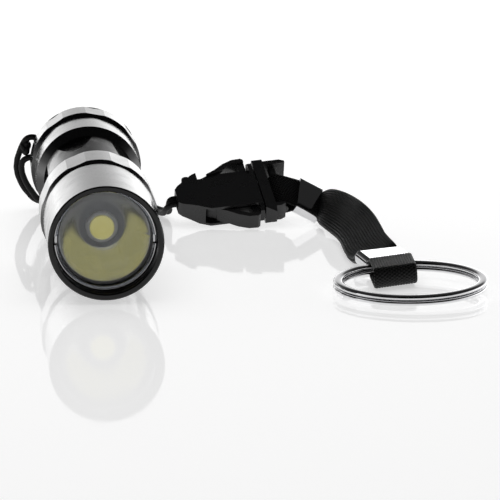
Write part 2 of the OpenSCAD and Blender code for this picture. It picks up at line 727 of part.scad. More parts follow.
// A ribbon of two plies between an upper and a lower edge line
module ribbon(stations, thick, steps) {
    upper = smooth_line([for (s = stations) s[0]], steps);
    lower = smooth_line([for (s = stations) s[1]], steps);
    mid = (upper + lower) / 2;
    t = tangents(mid);
    skin([for (i = [0:len(mid) - 1])
        let (w = unit(upper[i] - lower[i]), n = unit(cross(t[i], w)),
            c = mid[i], a = w * webbing_w / 2, b = n * thick / 2)
        [c + a + b, c - a + b, c - a - b, c + a - b]]);
}

module strap_span() color([0.05, 0.05, 0.05]) ribbon(span_stations, strap_t, 4);

module strap_ring_loop() color([0.05, 0.05, 0.05]) translate(loop_at) rotate(loop_turn)
    multmatrix([[1, 0, 0, 0], [loop_skew, 1, 0, 0], [0, 0, 1, 0], [0, 0, 0, 1]])
    rotate([90, 0, 0]) linear_extrude(webbing_w, center = true) difference() {
        hull() {
            translate([loop_start + 0.1, 0]) square([0.2, strap_t], center = true);
            translate([loop_wide, 0]) circle(loop_room / 2 + webbing_t, $fn = 32);
            translate([loop_nose, 0]) circle(loop_room / 2 + webbing_t, $fn = 32);
        }
        hull() {
            translate([loop_start + 0.7, 0]) circle(0.05, $fn = 8);
            translate([loop_wide, 0]) circle(loop_room / 2, $fn = 32);
            translate([loop_nose, 0]) circle(loop_room / 2, $fn = 32);
        }
    }

// The wire steps from the lower turn to the upper one over a short stretch
joggle_from = 335;
joggle_to = 385;
ring_end_gap = 4;
ring_steps = 96;
function ring_level(a) = a < joggle_from ? -1 : a > joggle_to ? 1
    : -cos(180 * (a - joggle_from) / (joggle_to - joggle_from));
wire_bevel = 0.22;

module split_key_ring() color([0.8, 0.81, 0.83]) translate(ring_hold) rotate(ring_turn)
    translate([ring_mid_r, 0, 0]) {
        w = ring_wire_w / 2;
        h = ring_wire_h / 2;
        b = wire_bevel;
        outline = [[-w, -h + b], [-w + b, -h], [w - b, -h], [w, -h + b],
            [w, h - b], [w - b, h], [-w + b, h], [-w, h - b]];
        skin([for (i = [0:ring_steps])
            let (a = ring_end_gap + i * (720 - 2 * ring_end_gap) / ring_steps,
                lift = ring_level(a) * (ring_h - ring_wire_h) / 2)
            [for (q = outline)
                [(ring_mid_r + q[0]) * cos(a - 170), (ring_mid_r + q[0]) * sin(a - 170), q[1] + lift]]]);
    }

head_shell();
lens_retaining_ring();
lens();
lens_seal();
reflector();
led_dome();
led_phosphor();
led_base();
led_insulator();
led_board();
heat_sink_pill();
driver_board();
driver_inductor();
driver_chip();
driver_contact();
led_wires();
head_o_ring();
barrel();
tail_o_ring();
cell_can();
cell_sleeve();
cell_positive_cap();
tail_cap();
switch_retaining_ring();
battery_spring();
tail_contact_board();
switch_housing();
switch_spring();
switch_plunger();
boot_washer();
switch_boot();
lanyard_cord();
cord_knot();
buckle_socket();
buckle_plug();
buckle_prong_upper();
buckle_prong_lower();
strap_bar_loop();
ferrule_buckle_end();
strap_span();
ferrule_ring_end();
strap_ring_loop();
split_key_ring();
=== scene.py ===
# %% [markdown]
# # A keychain light and its lanyard
#
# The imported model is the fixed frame: every turned, milled and moulded part comes from it and
# is never moved. This lesson adds what a plain solid can't show: a braided cord, ribbed
# webbing, a smooth spring-wire ring, softened edges, and a finish for every part.

# %% Load the frame
import json
import math

import bmesh
import bpy
import numpy as np
from mathutils import Euler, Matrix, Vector


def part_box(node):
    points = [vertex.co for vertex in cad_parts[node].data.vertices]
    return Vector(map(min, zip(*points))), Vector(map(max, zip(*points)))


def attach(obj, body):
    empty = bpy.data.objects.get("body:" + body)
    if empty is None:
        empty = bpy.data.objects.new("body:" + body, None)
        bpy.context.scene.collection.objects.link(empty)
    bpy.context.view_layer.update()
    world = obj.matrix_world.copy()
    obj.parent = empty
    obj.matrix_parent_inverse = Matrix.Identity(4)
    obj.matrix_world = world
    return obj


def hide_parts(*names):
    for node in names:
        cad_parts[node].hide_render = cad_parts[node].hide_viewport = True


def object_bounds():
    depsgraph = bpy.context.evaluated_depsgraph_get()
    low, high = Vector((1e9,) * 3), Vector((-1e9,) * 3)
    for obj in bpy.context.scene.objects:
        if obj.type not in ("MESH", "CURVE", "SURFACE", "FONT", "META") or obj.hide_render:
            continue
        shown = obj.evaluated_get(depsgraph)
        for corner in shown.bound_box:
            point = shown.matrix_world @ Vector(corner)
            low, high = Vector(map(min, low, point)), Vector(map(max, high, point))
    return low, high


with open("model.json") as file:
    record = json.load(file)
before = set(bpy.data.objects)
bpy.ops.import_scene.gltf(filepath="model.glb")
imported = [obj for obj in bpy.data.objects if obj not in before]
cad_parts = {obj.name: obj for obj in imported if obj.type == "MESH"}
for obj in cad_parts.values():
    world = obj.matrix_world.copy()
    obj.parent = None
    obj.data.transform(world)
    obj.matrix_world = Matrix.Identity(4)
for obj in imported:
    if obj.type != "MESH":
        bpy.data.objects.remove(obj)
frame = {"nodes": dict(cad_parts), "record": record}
cad_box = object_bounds()
nodes = frame["nodes"]
MM = 0.001
print("parts in the frame:", len(nodes))
print("box of the frame:", [list(corner) for corner in cad_box])

# %% [markdown]
# ## The camera
#
# A long lens from well in front keeps the turned rings close to true circles, as in a
# catalogue picture of a small product. A camera can be aimed with a constraint or by turning
# its view direction into a rotation. The second is used, because nothing then has to follow
# a target.

# %% Camera
CAMERA_AT = Vector((-0.035463, -0.689796, 0.142050))
CAMERA_LOOK = Vector((0.08702, 0.97499, -0.20450))
LENS_MM, SENSOR_MM = 283.2, 36
NEAREST_SEEN = 0.01
camera_data = bpy.data.cameras.new("studio_camera")
camera_data.lens = LENS_MM
camera_data.sensor_width = SENSOR_MM
camera_data.clip_start = NEAREST_SEEN
camera = bpy.data.objects.new("studio_camera", camera_data)
bpy.context.scene.collection.objects.link(camera)
camera.location = CAMERA_AT
camera.rotation_euler = CAMERA_LOOK.to_track_quat("-Z", "Y").to_euler()
bpy.context.scene.camera = camera
bpy.context.scene.view_settings.view_transform = "Standard"
print("camera distance to the lens, m:", round(CAMERA_AT.length, 3))

# %% [markdown]
# ## Tools for swept pieces
#
# Cord, webbing and spring wire are all one outline carried along a line. Blender's curves can
# bevel an outline too, but a mesh made ring by ring lets the outline change from ring to ring,
# which is how the braid and the ribs get real relief.


# %% Line helpers
def smooth_line(points, steps):
    """A smooth line through given points, with so many steps between each pair."""
    p = [np.array(q, float) for q in points]
    line = []
    for i in range(len(p) - 1):
        a, b, c, d = p[max(i - 1, 0)], p[i], p[i + 1], p[min(i + 2, len(p) - 1)]
        for k in range(steps):
            t = k / steps
            line.append(0.5 * (2 * b + (c - a) * t + (2 * a - 5 * b + 4 * c - d) * t * t
                               + (3 * b - a - 3 * c + d) * t ** 3))
    line.append(p[-1])
    return np.array(line)


def even_line(line, gap):
    """The same line, with its points spaced evenly about one gap apart."""
    steps = np.linalg.norm(np.diff(line, axis=0), axis=1)
    along = np.concatenate([[0], np.cumsum(steps)])
    count = max(2, int(along[-1] / gap))
    at = np.linspace(0, along[-1], count + 1)
    return np.stack([np.interp(at, along, line[:, i]) for i in range(3)], axis=1), at


def unit(v):
    return v / np.linalg.norm(v)


def directions(line):
    """The direction of travel at each point, from its two neighbours."""
    ahead = np.roll(line, -1, axis=0)
    behind = np.roll(line, 1, axis=0)
    ahead[-1], behind[0] = line[-1], line[0]
    d = ahead - behind
    return d / np.linalg.norm(d, axis=1)[:, None]


# %% Mesh from rings
def rings_to_piece(name, rings, closed=False):
    """One closed skin over rings of points; the map runs along the piece and round it, in mm."""
    count, sides = len(rings), len(rings[0])
    verts = [tuple(q) for ring in rings for q in ring]
    spans = count if closed else count - 1
    faces = []
    for i in range(spans):
        low, high = i * sides, ((i + 1) % count) * sides
        for k in range(sides):
            after = (k + 1) % sides
            faces.append((low + k, low + after, high + after, high + k))
    if not closed:
        faces.append(tuple(reversed(range(sides))))
        faces.append(tuple(range((count - 1) * sides, count * sides)))
    mesh = bpy.data.meshes.new(name)
    mesh.from_pydata(verts, [], faces)
    centres = np.array([np.mean(ring, axis=0) for ring in rings])
    run = np.concatenate([[0], np.cumsum(np.linalg.norm(np.diff(centres, axis=0), axis=1))])
    girth = np.linalg.norm(np.array(rings[0]) - np.roll(rings[0], 1, axis=0), axis=1).sum()
    layer = mesh.uv_layers.new(name="along_and_round")
    for i in range(spans):
        for k in range(sides):
            quad = [(i, k), (i, k + 1), (i + 1, k + 1), (i + 1, k)]
            for corner, (row, col) in enumerate(quad):
                far = run[row] if row < count else run[-1] + run[1]
                layer.data[(i * sides + k) * 4 + corner].uv = (far / MM, girth * col / sides / MM)
    mesh.polygons.foreach_set("use_smooth", [True] * len(mesh.polygons))
    piece = bpy.data.objects.new(name, mesh)
    bpy.context.scene.collection.objects.link(piece)
    turn_faces_out(piece)
    return piece


# %% Faces outward
def turn_faces_out(piece):
    work = bmesh.new()
    work.from_mesh(piece.data)
    bmesh.ops.recalc_face_normals(work, faces=work.faces)
    work.to_mesh(piece.data)
    work.free()


# %% [markdown]
# ## The lanyard cord
#
# A thin braided cord leaves the buckle, runs round behind the tail, threads both holes of the
# shroud and comes back beside itself. Braid can be left to a bump map, but the cord is close
# enough to the eye for its outline to matter, so the strands lift the surface a little where
# they cross.

# %% Cord route
CORD_D = 1.2 * MM
CORD_ROUTE = [
    (18.5, 65.1, -6.75), (16.5, 64.9, -6.95), (15.5, 66.4, -8), (15.2, 70, -9.5),
    (14.2, 75, -10.2), (11, 80.4, -10.2), (5, 83.6, -10.2), (-3, 83.9, -10.2),
    (-8.3, 83.5, -9.3), (-10.4, 82.6, -7), (-11.7, 81.8, -4.6), (-12.3, 81.1, -2.4),
    (-12.1, 80.4, -0.7), (-11.1, 80.1, 0.1), (-9.8, 79.95, 0.34), (-8.2, 79.95, 0.29),
    (-6.9, 79.95, 0.8), (-6.3, 79.95, 1.9), (-6.8, 79.95, 3), (-8, 79.95, 3.6),
    (-9.1, 79.95, 4.05), (-10.4, 80, 4.3), (-11.4, 80.3, 3.8), (-12.1, 80.9, 2.6),
    (-12.7, 81.6, 1), (-13.2, 82.2, -0.9), (-13.2, 82.8, -3), (-12.5, 83.4, -5.2),
    (-11.2, 84.1, -7.4), (-8.8, 84.8, -9.5), (-3, 85.4, -10.2), (5.6, 85.2, -10.2),
    (12.2, 81.6, -10.2), (15.7, 75.6, -10.2), (16.4, 71, -9.3), (16.1, 67.8, -7.4),
    (16.5, 66.35, -6.2), (18.4, 66.45, -5.95)]
CORD_STEPS, CORD_GAP = 16, 0.16 * MM
cord_line, cord_run = even_line(smooth_line(np.array(CORD_ROUTE) * MM, CORD_STEPS), CORD_GAP)
print("cord length, m:", round(float(cord_run[-1]), 4), "rings:", len(cord_line))


# %% Braided tube
STRANDS, BRAID_PITCH = 4, 1.9 * MM
BRAID_CORE, BRAID_LIFT = 0.93, 0.09
FIRST_SIDE_HINT = (0.2, 0.3, 1)


def braided_tube(name, line, run, diameter, closed=False, sides=16):
    """A round cord whose radius rises where strands lie over each other."""
    ahead = directions(line)
    side = unit(np.cross(ahead[0], FIRST_SIDE_HINT))
    rings = []
    for here, along, forward in zip(line, run, ahead):
        side = unit(side - forward * side.dot(forward))
        up = np.cross(forward, side)
        ring = []
        for k in range(sides):
            turn = 2 * math.pi * k / sides
            lay = 2 * math.pi * along / BRAID_PITCH
            over = abs(math.sin(STRANDS * turn / 2 + lay / 2))
            under = abs(math.sin(STRANDS * turn / 2 - lay / 2))
            r = diameter / 2 * (BRAID_CORE + BRAID_LIFT * max(over, under))
            ring.append(here + r * (math.cos(turn) * side + math.sin(turn) * up))
        rings.append(ring)
    return rings_to_piece(name, rings, closed)


cord = braided_tube("braided_cord", cord_line, cord_run, CORD_D)
print("cord faces:", len(cord.data.polygons))

# %% [markdown]
# ## The knot at the lanyard hole
#
# A small overhand knot gathers the two falls of cord where they meet outside the shroud. A
# trefoil line, swept with the same braid, has the crossings of a pulled-down knot.

# %% Knot
KNOT_POINTS, KNOT_STEP = 150, 0.12 * MM
KNOT_SPREAD = 2.6
KNOT_DEPTH = 1.6
KNOT_INSET, KNOT_CORD_D = 0.42 * CORD_D, CORD_D * 0.95
knot_low, knot_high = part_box("cord_knot")
knot_at = (np.array(knot_low) + np.array(knot_high)) / 2
knot_half = (np.array(knot_high) - np.array(knot_low)) / 2
knot_reach = (knot_half - KNOT_INSET) / KNOT_SPREAD
knot_turns = np.linspace(0, 2 * math.pi, KNOT_POINTS)[:-1]
knot_line = np.stack([
    knot_at[0] + knot_reach[0] * (np.sin(knot_turns) + 2 * np.sin(2 * knot_turns)),
    knot_at[1] + knot_reach[1] * KNOT_DEPTH * np.sin(3 * knot_turns),
    knot_at[2] + knot_reach[2] * (np.cos(knot_turns) - 2 * np.cos(2 * knot_turns))], axis=1)
knot_run = np.arange(len(knot_line)) * KNOT_STEP
knot = braided_tube("overhand_knot", knot_line, knot_run, KNOT_CORD_D, closed=True)
print("knot size, mm:", [round(float(2 * h / MM), 2) for h in knot_half])

for piece in (cord, knot):
    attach(piece, "tail")
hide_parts("lanyard_cord")
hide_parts("cord_knot")
print("cord leaves the buckle at", [round(float(c), 4) for c in cord_line[0]])

# %% [markdown]
# ## Ribbed webbing
#
# The strap is two plies of narrow nylon webbing, with fine ribs that run its whole length. A
# bump map would give the ribs no outline at the cut edges, so each ply is swept from an
# outline that already has them.

# %% Ply outline
WEBBING_W = 8.5 * MM
WEBBING_T = 0.7 * MM
RIBS = 15
RIB_LIFT = 0.09 * MM
POINTS_PER_RIB, EDGE_POINTS = 6, 8


def ply_outline():
    """Points round one ply, across its width and thickness: ribbed faces, round edges."""
    samples = RIBS * POINTS_PER_RIB
    half, low = WEBBING_W / 2, WEBBING_T / 2 - RIB_LIFT
    face = []
    for k in range(samples + 1):
        x = (-1 + 2 * k / samples) * (half - low)
        crown = abs(math.sin(math.pi * RIBS * k / samples))
        face.append((x, low + RIB_LIFT * crown))
    end = [(half - low + low * math.sin(a), low * math.cos(a))
           for a in np.linspace(0, math.pi, EDGE_POINTS)[1:-1]]
    back = [(x, -y) for x, y in reversed(face)]
    start = [(-x, -y) for x, y in end]
    return face + end + back + start


PLY = ply_outline()
print("points round one ply:", len(PLY))


# %% Ply along a line
def ply(name, centres, widths, lift=0.0):
    """Sweeps one ply; each ring has a centre and a direction across the webbing."""
    ahead = directions(np.array(centres))
    rings = []
    for here, across, forward in zip(centres, widths, ahead):
        across = unit(across)
        out = unit(np.cross(forward, across))
        middle = here + out * lift
        rings.append([middle + across * x + out * y for x, y in PLY])
    return rings_to_piece(name, rings)


def placed(at, turn, lean=0.0):
    """The place and the three axes of a part that lies turned on the floor, in degrees."""
    axes = Euler([math.radians(a) for a in turn]).to_matrix()
    if lean:
        axes = axes @ Euler((math.radians(lean), 0, 0)).to_matrix()
    axes = np.array(axes)
    return np.array(at) * MM, axes[:, 0], axes[:, 1], axes[:, 2]


# %% Places of the buckle, ferrules and loop
FERRULE_LEN = 5.2 * MM
PLY_GAP = 0.1 * MM
PLY_LIFT = WEBBING_T / 2 + PLY_GAP / 2
buckle = placed((33.5, 67.6, -5.15), (0, -4.5, 7), lean=30)
ferrule_a = placed((43.35, 66.3, -6.75), (30, 28.9, 5.5))
ferrule_b = placed((52.7, 18.9, -8.8), (2, 6, -74))
loop_place = placed((53.43, 16.35, -8.96), (3, -1.8, -74))
print("ferrules apart, mm:", round(float(np.linalg.norm(ferrule_a[0] - ferrule_b[0]) / MM), 1))

# %% Strap between the ferrules
STRAP_EDGES = [
    ((47.3, 65.8, -5), (45.3, 59.5, -10.1)), ((48.3, 60.4, -3.6), (45.4, 55.6, -10.1)),
    ((50.6, 53.6, -3.3), (46.4, 51.2, -10.5)), ((52.2, 46.8, -3.6), (47.1, 46.6, -10.6)),
    ((53.4, 41.8, -4.6), (47.4, 41.4, -10.6)), ((54.2, 36.2, -5.6), (47.1, 35.9, -10.6)),
    ((54.7, 30.3, -6.6), (47, 30.2, -10.5)), ((55.6, 24.9, -7.4), (47.6, 24.6, -10.2))]


def ferrule_edges(place, along):
    at, forward, across, _ = place
    middle = at + forward * along
    return middle + across * WEBBING_W / 2, middle - across * WEBBING_W / 2


IN_FERRULE_A, IN_FERRULE_B = (-2.6, 0, 2.5, 3.1), (-3.1, -2.5, 0, 2.5)
STRAP_STEPS = 10
stations = [ferrule_edges(ferrule_a, x * MM) for x in IN_FERRULE_A]
stations += [(np.array(a) * MM, np.array(b) * MM) for a, b in STRAP_EDGES]
stations += [ferrule_edges(ferrule_b, x * MM) for x in IN_FERRULE_B]
upper_edge = smooth_line([s[0] for s in stations], STRAP_STEPS)
lower_edge = smooth_line([s[1] for s in stations], STRAP_STEPS)
strap_middle = (upper_edge + lower_edge) / 2
strap_across = upper_edge - lower_edge
strap_plies = [ply(f"webbing_ply_{i}", strap_middle, strap_across, lift)
               for i, lift in enumerate((PLY_LIFT, -PLY_LIFT))]
strap_len = np.linalg.norm(np.diff(strap_middle, axis=0), axis=1).sum()
print("webbing between ferrules, mm:", round(float(strap_len / MM), 1))

# %% Loop round the ring
RING_H = 1.9 * MM
LOOP_SKEW = -0.325
LOOP_NOSE = 11 * MM
LOOP_ROOM = 0.3 * MM
LOOP_TURNS, LOOP_STEPS = 9, 6
loop_r = RING_H / 2 + LOOP_ROOM + WEBBING_T / 2
# The two plies leave the ferrule together, part, and then run side by side to the nose.
loop_side = [(0.15 * MM, PLY_LIFT), (0.9 * MM, PLY_LIFT + 0.15 * MM), (2.4 * MM, loop_r),
             (5.5 * MM, loop_r), (8.5 * MM, loop_r)]
loop_turns = np.linspace(math.pi / 2, -math.pi / 2, LOOP_TURNS)
loop_nose = [(LOOP_NOSE + loop_r * math.cos(a), loop_r * math.sin(a)) for a in loop_turns]
loop_flat = loop_side + loop_nose + [(x, -y) for x, y in reversed(loop_side)]
loop_flat = smooth_line([(x, 0, z) for x, z in loop_flat], LOOP_STEPS)
at, forward, across, up = loop_place
loop_line = np.array([at + forward * x + across * (LOOP_SKEW * x) + up * z
                      for x, _, z in loop_flat])
ring_loop = ply("webbing_ring_loop", loop_line, [across] * len(loop_line))
print("loop rings:", len(loop_line))

# %% Loop round the buckle's bar
BAR_X, BAR_R, STRAP_OFFSET = 4.2 * MM, 1.0 * MM, -1.3 * MM
IN_FERRULE = 0.3 * MM
WRAP_FROM, WRAP_TO, WRAP_POINTS = 70, 290, 9
bar_at = buckle[0] + buckle[1] * BAR_X + buckle[2] * STRAP_OFFSET
wrap_r = BAR_R + WEBBING_T / 2
entry = ferrule_a[0] - ferrule_a[1] * (FERRULE_LEN / 2)
tucked_in = entry + ferrule_a[1] * IN_FERRULE
bar_stations = [(tucked_in + ferrule_a[3] * PLY_LIFT, ferrule_a[2])]
for angle in np.linspace(WRAP_FROM, WRAP_TO, WRAP_POINTS):
    turn = math.radians(angle)
    spot = bar_at + wrap_r * (math.cos(turn) * buckle[1] + math.sin(turn) * buckle[3])
    bar_stations.append((spot, buckle[2]))
bar_stations.append((tucked_in - ferrule_a[3] * PLY_LIFT, ferrule_a[2]))
bar_line = smooth_line([s[0] for s in bar_stations], LOOP_STEPS)
bar_across = smooth_line([s[1] for s in bar_stations], LOOP_STEPS)
bar_loop = ply("webbing_bar_loop", bar_line, bar_across)
print("bar loop rings:", len(bar_line))

# %% Webbing stands for the plain straps
for piece in (*strap_plies, ring_loop, bar_loop):
    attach(piece, "tail")
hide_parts("strap_span")
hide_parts("strap_ring_loop")
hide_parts("strap_bar_loop")

# %% [markdown]
# ## The split ring
#
# Spring wire goes round twice, and steps from one turn to the other over a short stretch.
# Each end narrows a little, so that a key can be slid on. The frame's ring has few sides, so
# the same path is swept again with a rounder wire.

# %% Split ring
RING_D, WIRE_W, WIRE_H = 28 * MM, 1.75 * MM, 0.93 * MM
RING_HOLD, RING_TURN = (53.6, 13.5, -9), (1.22, 1.34, -82.5)
JOGGLE = (335, 385)
RING_GAP = 4
WIRE_SIDES, WIRE_SQUARENESS = 24, 0.85
RING_STEPS, FIRST_ANGLE = 320, 170
END_SIZES = (0.82, 0.95, 1.0)
ring_r = (RING_D - WIRE_W) / 2


def wire_level(angle):
    """Which turn the wire is in: -1 in the lower, 1 in the upper, between them on the step."""
    if angle < JOGGLE[0]:
        return -1.0
    if angle > JOGGLE[1]:
        return 1.0
    return -math.cos(math.pi * (angle - JOGGLE[0]) / (JOGGLE[1] - JOGGLE[0]))


def wire_outline(grow):
    """A wide wire with rolled edges; grow is under one at the eased ends."""
    points = []
    for k in range(WIRE_SIDES):
        a = 2 * math.pi * (k + 0.5) / WIRE_SIDES
        c, s = math.cos(a), math.sin(a)
        x = abs(c) ** WIRE_SQUARENESS * math.copysign(1, c) * WIRE_W / 2
        y = abs(s) ** WIRE_SQUARENESS * math.copysign(1, s) * WIRE_H / 2
        points.append((x * grow, y * grow))
    return points


ring_at, ring_x, ring_y, ring_z = placed(RING_HOLD, RING_TURN)
ring_centre = ring_at + ring_x * ring_r
ring_rings = []
for i in range(RING_STEPS + 1):
    angle = RING_GAP + i * (720 - 2 * RING_GAP) / RING_STEPS
    end_gap = min(i, RING_STEPS - i)
    ease = END_SIZES[min(end_gap, len(END_SIZES) - 1)]
    turn = math.radians(angle - FIRST_ANGLE)
    outward = ring_x * math.cos(turn) + ring_y * math.sin(turn)
    lift = ring_z * wire_level(angle) * (RING_H - WIRE_H) / 2
    ring_rings.append([ring_centre + outward * (ring_r + x) + ring_z * y + lift
                       for x, y in wire_outline(ease)])
split_ring = rings_to_piece("spring_wire_ring", ring_rings)
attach(split_ring, "key_ring")
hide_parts("split_key_ring")
print("ring outside, mm:", round(2 * ring_r / MM + WIRE_W / MM, 1))

# %% [markdown]
# ## Softened edges
#
# No machined or moulded edge is a perfect corner: a fine bright line along it is what tells
# the eye that the part is real. A bevel made live in a modifier leaves the frame's own mesh
# untouched.


# %% Edge softening
WELD_WITHIN = 1e-6
EDGE_ANGLE, EDGE_SEGMENTS = math.radians(28), 3
NORMAL_WEIGHT = 60


def soften(name, width):
    part = nodes[name]
    weld = part.modifiers.new("weld", "WELD")
    weld.merge_threshold = WELD_WITHIN
    bevel = part.modifiers.new("edge", "BEVEL")
    bevel.width = width
    bevel.segments = EDGE_SEGMENTS
    bevel.limit_method = "ANGLE"
    bevel.angle_limit = EDGE_ANGLE
    bevel.use_clamp_overlap = True
    bevel.harden_normals = False
    normals = part.modifiers.new("normals", "WEIGHTED_NORMAL")
    normals.keep_sharp = False
    normals.weight = NORMAL_WEIGHT


EDGES_MM = {
    "buckle_socket": 0.3, "buckle_plug": 0.25, "buckle_prong_upper": 0.15,
    "buckle_prong_lower": 0.15, "ferrule_buckle_end": 0.3, "ferrule_ring_end": 0.25,
    "lens_retaining_ring": 0.05, "switch_retaining_ring": 0.05}
for name, width in EDGES_MM.items():
    soften(name, width * MM)
print("softened parts:", len(EDGES_MM))

# %% [markdown]
# ## Effects shared between finishes
#
# Several finishes need the same two things: a fine grain that breaks up gloss, and faint
# handling marks. Each is a shader node group, built once and given its own numbers in every
# material. A group here only makes values; the shader stays in the material.


# %% Grain group
FINE_GRAIN, BROAD_GRAIN = 4000.0, 260.0
MARKS_FROM, MARKS_TO = 0.35, 0.65


def new_group(name, inputs, outputs):
    """An empty node group with its sockets made, and its two end nodes."""
    group = bpy.data.node_groups.new(name, "ShaderNodeTree")
    for label, kind, default in inputs:
        socket = group.interface.new_socket(label, in_out="INPUT", socket_type=kind)
        if default is not None:
            socket.default_value = default
    for label, kind in outputs:
        group.interface.new_socket(label, in_out="OUTPUT", socket_type=kind)
    into = group.nodes.new("NodeGroupInput")
    out = group.nodes.new("NodeGroupOutput")
    return group, into, out


grain_group, into, out = new_group(
    "surface_grain",
    [("Scale", "NodeSocketFloat", FINE_GRAIN), ("Roughness Low", "NodeSocketFloat", 0.2),
     ("Roughness High", "NodeSocketFloat", 0.3)],
    [("Roughness", "NodeSocketFloat"), ("Height", "NodeSocketFloat")])
n, link = grain_group.nodes, grain_group.links.new
place = n.new("ShaderNodeTexCoord")
fine = n.new("ShaderNodeTexNoise")
fine.inputs["Detail"].default_value = 3
link(place.outputs["Object"], fine.inputs["Vector"])
link(into.outputs["Scale"], fine.inputs["Scale"])
broad = n.new("ShaderNodeTexNoise")
broad.inputs["Scale"].default_value = BROAD_GRAIN
broad.inputs["Detail"].default_value = 4
link(place.outputs["Object"], broad.inputs["Vector"])
spread = n.new("ShaderNodeMapRange")
link(broad.outputs["Fac"], spread.inputs["Value"])
spread.inputs["From Min"].default_value = MARKS_FROM
spread.inputs["From Max"].default_value = MARKS_TO
link(into.outputs["Roughness Low"], spread.inputs["To Min"])
link(into.outputs["Roughness High"], spread.inputs["To Max"])
link(spread.outputs["Result"], out.inputs["Roughness"])
link(fine.outputs["Fac"], out.inputs["Height"])
print("group sockets:", len(grain_group.interface.items_tree))

# %% Weave group
weave_group, into, out = new_group(
    "thread_weave",
    [("Along Pitch", "NodeSocketFloat", 4.0), ("Round Pitch", "NodeSocketFloat", 4.0),
     ("Dark", "NodeSocketColor", (0.01, 0.01, 0.01, 1)),
     ("Light", "NodeSocketColor", (0.03, 0.03, 0.03, 1))],
    [("Color", "NodeSocketColor"), ("Height", "NodeSocketFloat")])
n, link = weave_group.nodes, weave_group.links.new
place = n.new("ShaderNodeUVMap")
place.uv_map = "along_and_round"
axes = n.new("ShaderNodeSeparateXYZ")
link(place.outputs["UV"], axes.inputs["Vector"])


def pitch_wave(axis, pitch):
    scaled = n.new("ShaderNodeMath")
    scaled.operation = "MULTIPLY"
    link(axes.outputs[axis], scaled.inputs[0])
    link(into.outputs[pitch], scaled.inputs[1])
    wave = n.new("ShaderNodeMath")
    wave.operation = "SINE"
    link(scaled.outputs[0], wave.inputs[0])
    return wave


along_wave, round_wave = pitch_wave("X", "Along Pitch"), pitch_wave("Y", "Round Pitch")
cross = n.new("ShaderNodeMath")
cross.operation = "MULTIPLY_ADD"
link(along_wave.outputs[0], cross.inputs[0])
link(round_wave.outputs[0], cross.inputs[1])
cross.inputs[2].default_value = 0.5
tone = n.new("ShaderNodeMix")
tone.data_type = "RGBA"
link(cross.outputs[0], tone.inputs["Factor"])
link(into.outputs["Dark"], tone.inputs["A"])
link(into.outputs["Light"], tone.inputs["B"])
link(tone.outputs["Result"], out.inputs["Color"])
link(cross.outputs[0], out.inputs["Height"])
print("weave nodes:", len(weave_group.nodes))

# %% [markdown]
# ## Finishes
#
# One helper makes a finish with a grain; each finish then says only what is its own. Numbers
# that are the same all over a surface are set on the shader itself.


# %% Grained finish
def grained(name, color, low, high, scale=FINE_GRAIN, bump=0.02, depth=0.01, metallic=0.0,
            **settings):
    """A finish whose roughness wanders between low and high; depth is in mm."""
    finish = bpy.data.materials.new(name)
    finish.use_nodes = True
    tree = finish.node_tree
    shader = tree.nodes["Principled BSDF"]
    shader.inputs["Base Color"].default_value = (*color, 1)
    shader.inputs["Metallic"].default_value = metallic
    for label, value in settings.items():
        shader.inputs[label.replace("_", " ")].default_value = value
    grain = tree.nodes.new("ShaderNodeGroup")
    grain.node_tree = grain_group
    grain.inputs["Scale"].default_value = scale
    grain.inputs["Roughness Low"].default_value = low
    grain.inputs["Roughness High"].default_value = high
    tree.links.new(grain.outputs["Roughness"], shader.inputs["Roughness"])
    if bump:
        raised = tree.nodes.new("ShaderNodeBump")
        raised.inputs["Strength"].default_value = bump
        raised.inputs["Distance"].default_value = depth * MM
        tree.links.new(grain.outputs["Height"], raised.inputs["Height"])
        tree.links.new(raised.outputs["Normal"], shader.inputs["Normal"])
    return finish


# %% Metals
black_metal = grained("gloss_black_anodising", (0.003, 0.003, 0.0032), 0.1, 0.17,
                      IOR=1.42)
nickel = grained("bright_nickel", (0.74, 0.74, 0.75), 0.04, 0.1, metallic=1.0, bump=0.01)
brass = grained("turned_brass", (0.72, 0.52, 0.24), 0.2, 0.34, metallic=1.0)
steel = grained("drawn_steel", (0.58, 0.59, 0.61), 0.22, 0.36, metallic=1.0)
mirror = grained("mirror_coat", (0.62, 0.63, 0.66), 0.06, 0.12, metallic=1.0, bump=0.0)
# A bright metal used only to paint a highlight rim onto the black lens ring.
highlight_rim_metal = grained("painted_highlight_lens_rim", (0.5, 0.5, 0.51), 0.06, 0.12, metallic=1.0)
print("metals made:", 6)

# %% Plastics and rubbers
black_plastic = grained("moulded_black_acetal", (0.012, 0.012, 0.0125), 0.24, 0.36,
                        scale=9000, bump=0.12, depth=0.02, IOR=1.5)
black_rubber = grained("black_rubber", (0.02, 0.02, 0.021), 0.42, 0.55, bump=0.08)
white_plastic = grained("white_moulding", (0.78, 0.78, 0.75), 0.35, 0.45)
ceramic = grained("white_ceramic", (0.82, 0.81, 0.77), 0.3, 0.4)
green_board = grained("solder_mask", (0.03, 0.16, 0.08), 0.3, 0.42)
dark_component = grained("dark_moulding", (0.04, 0.04, 0.045), 0.4, 0.5)
cell_film = grained("cell_film", (0.05, 0.17, 0.16), 0.18, 0.26)
red_wire = grained("red_wire", (0.5, 0.03, 0.02), 0.35, 0.45)
# The phosphor gets a faint glow of its own: painted light that makes the emitter look brighter.
phosphor = grained("phosphor", (0.55, 0.53, 0.24), 0.45, 0.6,
                   Emission_Color=(0.62, 0.6, 0.3, 1), Emission_Strength=0.3)
print("plastics made:", 9)


